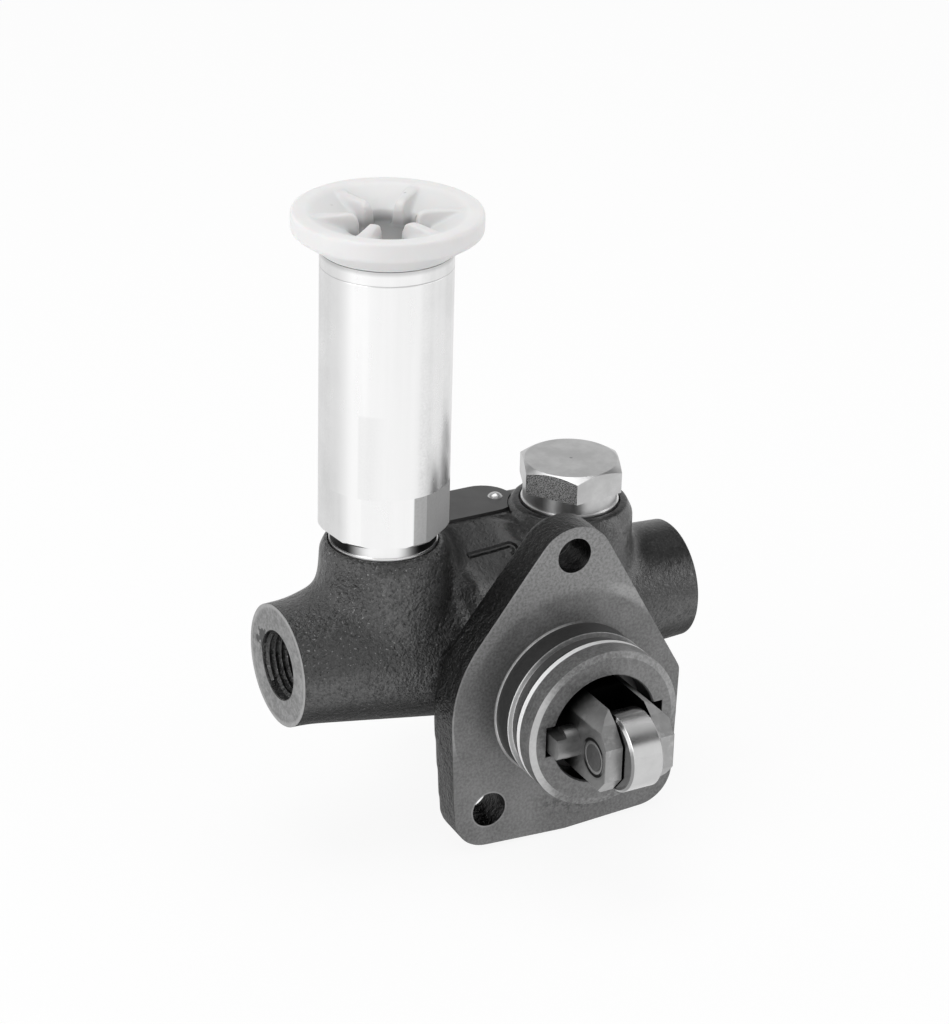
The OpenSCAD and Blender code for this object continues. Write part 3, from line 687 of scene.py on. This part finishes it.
metal = cut * 0.45 + 0.12 - front_ridge * 0.35 - ridge_wall * 0.35 + sheen * 0.7
tone = iron.blend(cut, skin_tone, face_tone)
iron.feed(Base_Color=tone, Roughness=rough, Metallic=metal, Normal=relief)
for piece in (casting, bpy.data.objects["inlet_thread"], bpy.data.objects["outlet_thread"]):
    piece.data.materials.clear()
    piece.data.materials.append(iron.material)
print("cast iron nodes:", len(iron.tree.nodes))

# %% [markdown]
# ### Turned aluminium
# The primer's barrel was turned, so it carries fine rings, soft streaks where the swarf rubbed,
# and a few small scratches. Its places are counted from the barrel's own axis, and its angles, in
# radians, from the front.
# %% Turned aluminium
alloy = Material("turned_aluminium")
x, y, z = alloy.axis("X", PRIMER_X), alloy.axis("Y", PORT_Y), alloy.axis("Z")
FRONT = -2.05
ahead = x * math.cos(FRONT) + y * math.sin(FRONT)
aside = y * math.cos(FRONT) - x * math.sin(FRONT)
around = alloy.node("ShaderNodeMath", {"operation": "ARCTAN2"}, {0: aside, 1: ahead})
rings = alloy.noise(1, detail=2, stretch=(60, 60, 7000))
streaks = alloy.noise(1, detail=4, stretch=(420, 420, 14))
cloud = alloy.noise(60, detail=5, roughness=0.65)
grain = alloy.noise(1900, detail=2)
scratch = alloy.noise(1, detail=3, roughness=0.7, stretch=(700, 700, 260)).step(0.70, 0.76)
line = (z - 101.9 * MM).size().step(0.16 * MM, 0.06 * MM)
print("turned surface ready")

# %% [markdown]
# Painted reflections run along the barrel as dull stripes and two darker sides, beside a patch. Below
# them come the hexagon with one mill-rough facet, and the neck over the seal ring, painted dark as
# shade except a lit strip at its front. A painted shadow lies round the barrel's top under the knob's
# foot.
# %% Marks of the barrel
def stripe(centre, half, soft=0.10):
    """1 along a stripe of the barrel that lies at an angle, in radians, from its front."""
    return (around - centre).size().step(half + soft, half)


foot = z.step(51.75 * MM, 51.65 * MM)
low = z.step(95 * MM, 55 * MM)
# Painted reflections: darker stripes and darker sides at set angles from the front.
reflection_stripes = stripe(0.65, 0.06) * (low * 0.5 + 0.35) * (1 - foot)
reflection_stripes = reflection_stripes.largest(stripe(-1.30, 0.28, soft=0.2) * 0.45).largest(stripe(1.15, 0.08) * 0.35)
reflection_stripes = reflection_stripes * (cloud * 0.7 + grain * 0.5).step(0.30, 0.85)
patch = around.step(-0.42, -0.38) * around.step(0.1, -0.3) * z.step(72 * MM, 71 * MM) * (1 - foot)
facet = foot * around.step(0.46, 0.49) * z.step(39.7 * MM, 39.8 * MM)
left_reflection, right_reflection = around.step(-0.40, -0.85), around.step(0.40, 0.85)
# The neck is painted dark as shade, all but a lit strip at its front.
neck_shade = z.step(36.40 * MM, 36.45 * MM) * z.step(39.72 * MM, 39.62 * MM) * around.size().step(0.22, 0.75)
tone = alloy.blend(streaks.step(0.35, 0.7) * 0.3 + cloud * 0.3, 0.92, 1.0)
tone = alloy.blend(left_reflection * (cloud * 0.5 + streaks * 0.3 + 0.4), tone, 0.66)
tone = alloy.blend(right_reflection * (cloud * 0.7 + streaks * 0.5), tone, 0.64)
tone = alloy.blend(reflection_stripes * 0.45, tone, 0.42)
tone = alloy.blend(patch * (cloud * 0.15 + grain * 0.1), tone, 0.4)
tone = alloy.blend((scratch * 0.15).largest(line * 0.4), tone, 0.35)
tone = alloy.blend(facet, tone, alloy.blend(grain * 0.6 + streaks * 0.4, 0.30, 0.52))
# Painted shadow under the knob's foot, round the barrel's top.
tone = alloy.blend(z.step(103.9 * MM, 105.0 * MM) * 0.45, tone, 0.30)
tone = alloy.blend(neck_shade, tone, 0.01)
rough = 0.30 + (streaks - 0.5) * 0.12 + (cloud - 0.5) * 0.14 + reflection_stripes * 0.12 + neck_shade * 0.3
relief = alloy.bump(rings, 0.012, 0.5)
relief = alloy.bump(1 - line, 0.08, 0.7, below=relief)
alloy.feed(Base_Color=tone, Metallic=1 - facet * 0.85, Roughness=rough, Normal=relief)
paint(alloy.material, "primer_barrel", "primer_seal", "plug_seal", "primer_piston")
print("aluminium nodes:", len(alloy.tree.nodes))

# %% [markdown]
# ### Steels
# The zinc plated pieces are a little rough from rolling, the hardened ones are dark, and the
# ground roller has fine marks that run round its axis. One function makes them all, and the brass
# and the copper too.
# %% Steels
def steel(name, dark, light, gloss, grain=900, marks=None, pits=0.0, edge=None):
    """Metal between two tones; gloss is its roughness. Marks stretches its fine lines, and pits is
    the depth of its grain in mm. Past edge, in mm from the middle plane, the metal is darker."""
    made = Material(name, Metallic=1.0)
    blotch = made.noise(90, detail=5, roughness=0.65)
    fine = made.noise(1 if marks else grain, detail=3, roughness=0.6, stretch=marks or (1, 1, 1))
    tone = made.blend(blotch.step(0.3, 0.7) * 0.55 + fine * 0.45, dark, light)
    if edge:
        tone = made.blend(made.axis("X").size().step(edge * MM, (edge + 0.1) * MM) * 0.65, tone, 0.12)
    rough = gloss + (fine - 0.5) * 0.18 + (blotch - 0.5) * 0.12
    relief = made.bump(fine, max(pits, 0.01), 0.6)
    print(name)
    return made.feed(Base_Color=tone, Roughness=rough, Normal=relief)


paint(steel("plated_steel", 0.44, 0.62, 0.34, grain=1400, pits=0.03), "rear_plug", "plate_rivets")
paint(steel("hardened_steel", 0.20, 0.38, 0.36, grain=700, pits=0.03), "guide_pin", "piston",
      "push_rod")
paint(steel("ground_steel", 0.52, 0.66, 0.20, marks=(9000, 150, 150), pits=0.006, edge=3.55), "roller")
paint(steel("spring_steel", 0.16, 0.28, 0.35), "tappet_spring", "piston_spring", "suction_spring",
      "pressure_spring")
paint(steel("brass", (0.45, 0.34, 0.16, 1), (0.62, 0.49, 0.26, 1), 0.32), "suction_seat",
      "pressure_seat", "primer_guide")
paint(steel("copper", (0.40, 0.20, 0.12, 1), (0.58, 0.30, 0.19, 1), 0.35), "rear_seal")

# %% [markdown]
# The tappet is the same hard steel. Its slot and the gap round the roller's pin are painted black as
# shade, and painted shade also darkens it further in, towards the housing, and in a ring round the
# pin. Distances from the pin's axis and from the middle plane tell these places apart.
# %% Tappet
hard = Material("tappet_steel", Metallic=1.0)
x, y, z = (hard.axis(letter) for letter in "XYZ")
from_pin = distance(y - PIN_Y * MM, z)
outside = x.size().step(8.6 * MM, 8.7 * MM)
blotch, fine = hard.noise(130, detail=5, roughness=0.65), hard.noise(900, detail=3, roughness=0.6)
rubbed = hard.noise(420, detail=4, roughness=0.7).step(0.52, 0.68)
# Painted shade: the slot and the gap round the pin nearly black, darker further in and in a ring round
# the pin.
slot_shade = x.size().step(4.48 * MM, 4.43 * MM)
deep_shade = y.step(-21 * MM, -14.5 * MM)
ragged = (z.size() * 0.35 + fine * 0.5 * MM).step(0.75 * MM, 1.25 * MM)
gap = outside * from_pin.step(4.65 * MM, 4.5 * MM) * ragged
halo_shade = outside * from_pin.step(5.4 * MM, 4.7 * MM)
tone = hard.blend(blotch.step(0.3, 0.7) * 0.5 + fine * 0.5, 0.20, 0.38)
tone = hard.blend((rubbed * 0.3 + 0.25) * (1 - outside), tone, 0.60)
tone = hard.blend(halo_shade * 0.3, tone, 0.09)
tone = hard.blend(deep_shade * 0.85, tone, 0.02)
tone = hard.blend(gap.largest(slot_shade), tone, 0.002)
relief = hard.bump(fine, 0.03, 0.6)
rough = 0.36 + (fine - 0.5) * 0.18 + slot_shade * 0.4
paint(hard.feed(Base_Color=tone, Roughness=rough, Normal=relief), "tappet")
print("tappet nodes:", len(hard.tree.nodes))

# %% [markdown]
# The roller's pin is riveted over at its end, which leaves a raised ring; a painted highlight lies on
# that ring and a painted shadow rims the pin. The primer's rod is plain steel, and its end, down in
# the knob's well, is painted dark as shade.
# %% Pin and rod
axle = Material("pin_steel", Metallic=1.0)
from_pin = distance(axle.axis("Y", PIN_Y), axle.axis("Z"))
fine, blotch = axle.noise(1100, detail=3), axle.noise(200, detail=4)
# A painted highlight on the riveted ring, and a painted shadow round the pin's rim.
ring = from_pin.step(3.0 * MM, 3.3 * MM) * from_pin.step(3.85 * MM, 3.6 * MM)
tone = axle.blend(fine * 0.6 + blotch * 0.4, 0.09, 0.20)
tone = axle.blend(ring * (blotch * 0.8 + 0.1), tone, 0.50)
tone = axle.blend(from_pin.step(3.8 * MM, 3.9 * MM), tone, 0.02)
relief = axle.bump(ring * 0.5 + fine * 0.2, 0.15, 0.8)
paint(axle.feed(Base_Color=tone, Roughness=0.38 + (fine - 0.5) * 0.2, Normal=relief), "roller_pin")

rod = Material("rod_steel", Metallic=1.0)
# The rod's end, down in the knob's well, is painted dark as shade.
fine, end = rod.noise(900, detail=3), rod.axis("Z").step(107.3 * MM, 107.5 * MM)
tone = rod.blend(end, rod.blend(fine, 0.44, 0.62), 0.10)
paint(rod.feed(Base_Color=tone, Roughness=0.34 + (fine - 0.5) * 0.15), "primer_rod")
print("pin and rod")

# %% [markdown]
# The pressure valve's plug is plated steel cut from hexagon bar. One flat kept the rough skin of the
# bar, the others were ground, and the top shows the arcs of the lathe tool round a small centre dot.
# %% Hexagon plug
plated = Material("plated_plug", Metallic=1.0)
x, y, z = plated.axis("X", PLUG_X), plated.axis("Y", PORT_Y), plated.axis("Z")
out = distance(x, y)
top_face = plated.facing("Z").step(0.97, 0.99)
rough_flat = plated.facing("X").step(-0.70, -0.76) * plated.facing("Y").step(-0.5, -0.55)
rough_flat = rough_flat * z.step(39.8 * MM, 39.9 * MM)
grit = plated.noise(4200, detail=2, roughness=0.6)
blotch = plated.noise(120, detail=5, roughness=0.65)
arcs = plated.node("ShaderNodeMath", {"operation": "SINE"}, {0: out * 9000 + blotch * 5})
dot = out.step(0.45 * MM, 0.3 * MM) * top_face
tone = plated.blend(blotch.step(0.3, 0.7), 0.46, 0.60)
tone = plated.blend(rough_flat, tone, plated.blend(grit.step(0.36, 0.66), 0.11, 0.52))
tone = plated.blend(dot * 0.6, tone, 0.15)
rough = 0.36 + (blotch - 0.5) * 0.15 + rough_flat * 0.15
relief = plated.bump(arcs * top_face, 0.006, 0.5)
relief = plated.bump(grit * (rough_flat * 0.9 + 0.1), 0.05, 0.8, below=relief)
paint(plated.feed(Base_Color=tone, Roughness=rough, Normal=relief), "pressure_plug")
print("plug nodes:", len(plated.tree.nodes))

# %% [markdown]
# ### Plate, plastics and rubber
# The knob is off-white moulded plastic that lets a little light in; its rim has fine upright mould
# marks and a few rubbed spots, and its dish two specks. Painted shade makes the dish a little darker
# and the middle well dark, darkest towards its floor.
# %% Knob plastic
plastic = Material("white_plastic", Subsurface_Weight=0.12, Subsurface_Scale=0.004,
                   Specular_IOR_Level=0.45)
x, y, z = plastic.axis("X", PRIMER_X), plastic.axis("Y", PORT_Y), plastic.axis("Z")
out = distance(x, y)
# Painted shade: the well darkens towards its floor, and the dish is a little darker than the rim.
well_shade = z.step(111.0 * MM, 106.2 * MM) * out.step(10.4 * MM, 8.8 * MM)
dish_shade = out.step(18 * MM, 16 * MM) * z.step(107 * MM, 108 * MM)
specks = nearest(((8.7, 8.9), (8.6, 3.1)), x, y).step(0.5 * MM, 0.25 * MM) * z.step(109 * MM, 110 * MM)
cloud = plastic.noise(120, detail=4)
rub = plastic.noise(1, detail=3, roughness=0.7, stretch=(500, 500, 60)).step(0.62, 0.75)
dirt = plastic.noise(420, detail=1).step(0.76, 0.80)
tone = plastic.blend(cloud, 0.70, 0.78)
tone = plastic.blend(rub * 0.25, tone, 0.62)
tone = plastic.blend(dirt * 0.4, tone, 0.35)
tone = plastic.blend(dish_shade * 0.5, tone, 0.64)
tone = plastic.blend(specks * 0.5, tone, 0.2)
tone = plastic.blend(well_shade, tone, 0.07)
rough = 0.42 + (cloud - 0.5) * 0.15
knob.data.materials.append(
    plastic.feed(Base_Color=tone, Roughness=rough, Normal=plastic.bump(rub, 0.03, 0.4)))
print("knob plastic nodes:", len(plastic.tree.nodes))

# %% [markdown]
# The plate is thin dark sheet, left bare. The valves are pale plastic and the primer's ring is
# black rubber.
# %% Plate, valves and ring
sheet = Material("dark_plate", Metallic=0.3)
mottle = sheet.noise(240, detail=5)
tone = sheet.blend(mottle.step(0.3, 0.7), 0.045, 0.070)
rough = 0.42 + (mottle - 0.5) * 0.2
paint(sheet.feed(Base_Color=tone, Roughness=rough, Normal=sheet.bump(mottle, 0.03, 0.5)), "name_plate")

valve = Material("valve_plastic")
fleck = valve.noise(300)
paint(valve.feed(Base_Color=valve.blend(fleck, 0.5, 0.62), Roughness=0.45 + fleck * 0.1),
      "suction_valve", "pressure_valve")

rubber = Material("rubber")
dust = rubber.noise(400)
paint(rubber.feed(Base_Color=rubber.blend(dust, 0.015, 0.035), Roughness=0.6 + dust * 0.2),
      "primer_piston_ring")
print("finishes done")

# %% [markdown]
# ## Stage and light
# The photographer worked in a white tent: light comes from low all round and from above, and the
# cloth between them is dimmer. Bright metal shows those bands, so the world has them too.
# %% Tent
studio = bpy.data.worlds.new("studio")
studio.use_nodes = True
sky = studio.node_tree.nodes
where = sky.new("ShaderNodeTexCoord")
parts = sky.new("ShaderNodeSeparateXYZ")
bands = sky.new("ShaderNodeValToRGB")
for element, (height, tone) in zip([bands.color_ramp.elements.new(0.5) for _ in range(4)],
                                   ((0.46, 0.92), (0.60, 0.10), (0.74, 0.10), (0.87, 0.65))):
    element.position = height
    element.color = (tone, tone, tone, 1)
bands.color_ramp.elements[0].color = (1, 1, 1, 1)
bands.color_ramp.elements[-1].color = (0.85, 0.85, 0.85, 1)
for source, target in ((where.outputs["Generated"], parts.inputs[0]),
                       (parts.outputs["Z"], bands.inputs[0]),
                       (bands.outputs["Color"], sky["Background"].inputs["Color"])):
    studio.node_tree.links.new(source, target)
bpy.context.scene.world = studio
bpy.context.scene.view_settings.view_transform = "Standard"
print("tent with", len(bands.color_ramp.elements), "bands")

# %% [markdown]
# The floor is pale paper. Camera, mirror and glass rays see it mostly as white, and it keeps the
# shadow. It lies just under the lowest point of the pump.
# %% Floor
paper = Material("paper", Base_Color=(0.88, 0.88, 0.88, 1), Roughness=0.9, Specular_IOR_Level=0.1)
tree = paper.tree
path = tree.nodes.new("ShaderNodeLightPath")
camera_ray, glossy_ray, glass_ray = [
    Value(paper, path.outputs[f"Is {kind} Ray"]) for kind in ("Camera", "Glossy", "Transmission")]
seen = (camera_ray * 0.9).largest(glossy_ray.largest(glass_ray) * 0.75)
white = tree.nodes.new("ShaderNodeEmission")
white.inputs["Color"].default_value = (1, 1, 1, 1)
white.inputs["Strength"].default_value = 1.0
both = tree.nodes.new("ShaderNodeMixShader")
tree.links.new(seen.socket, both.inputs[0])
tree.links.new(paper.shader.outputs[0], both.inputs[1])
tree.links.new(white.outputs[0], both.inputs[2])
tree.links.new(both.outputs[0], tree.nodes["Material Output"].inputs["Surface"])

bm = bmesh.new()
FLOOR_Z = -34.6
bmesh.ops.create_grid(bm, x_segments=1, y_segments=1, size=3,
                      matrix=Matrix.Translation((0, 0, FLOOR_Z * MM)))
floor = finish_piece("floor", bm)
floor.data.materials.append(paper.material)

# %% [markdown]
# Three soft boxes: a large one on the left, one overhead and a weak one on the right.
# %% Lamps
def lamp(name, place, aim, size, power):
    light = bpy.data.lights.new(name, "AREA")
    light.shape = "RECTANGLE"
    light.size, light.size_y = size
    light.energy = power
    made = bpy.data.objects.new(name, light)
    made.location = place
    made.rotation_euler = (Vector(aim) - Vector(place)).to_track_quat("-Z", "Y").to_euler()
    bpy.context.scene.collection.objects.link(made)
    print(name, "lamp")


lamp("left_softbox", (-0.85, -0.15, 0.42), (0, 0, 0.02), (0.6, 0.8), 3.3)
lamp("top_softbox", (0.0, 0.25, 0.95), (0, 0, 0), (0.8, 0.6), 3.5)
lamp("right_softbox", (0.75, -0.4, 0.3), (0, 0, 0.02), (0.35, 0.7), 1.6)
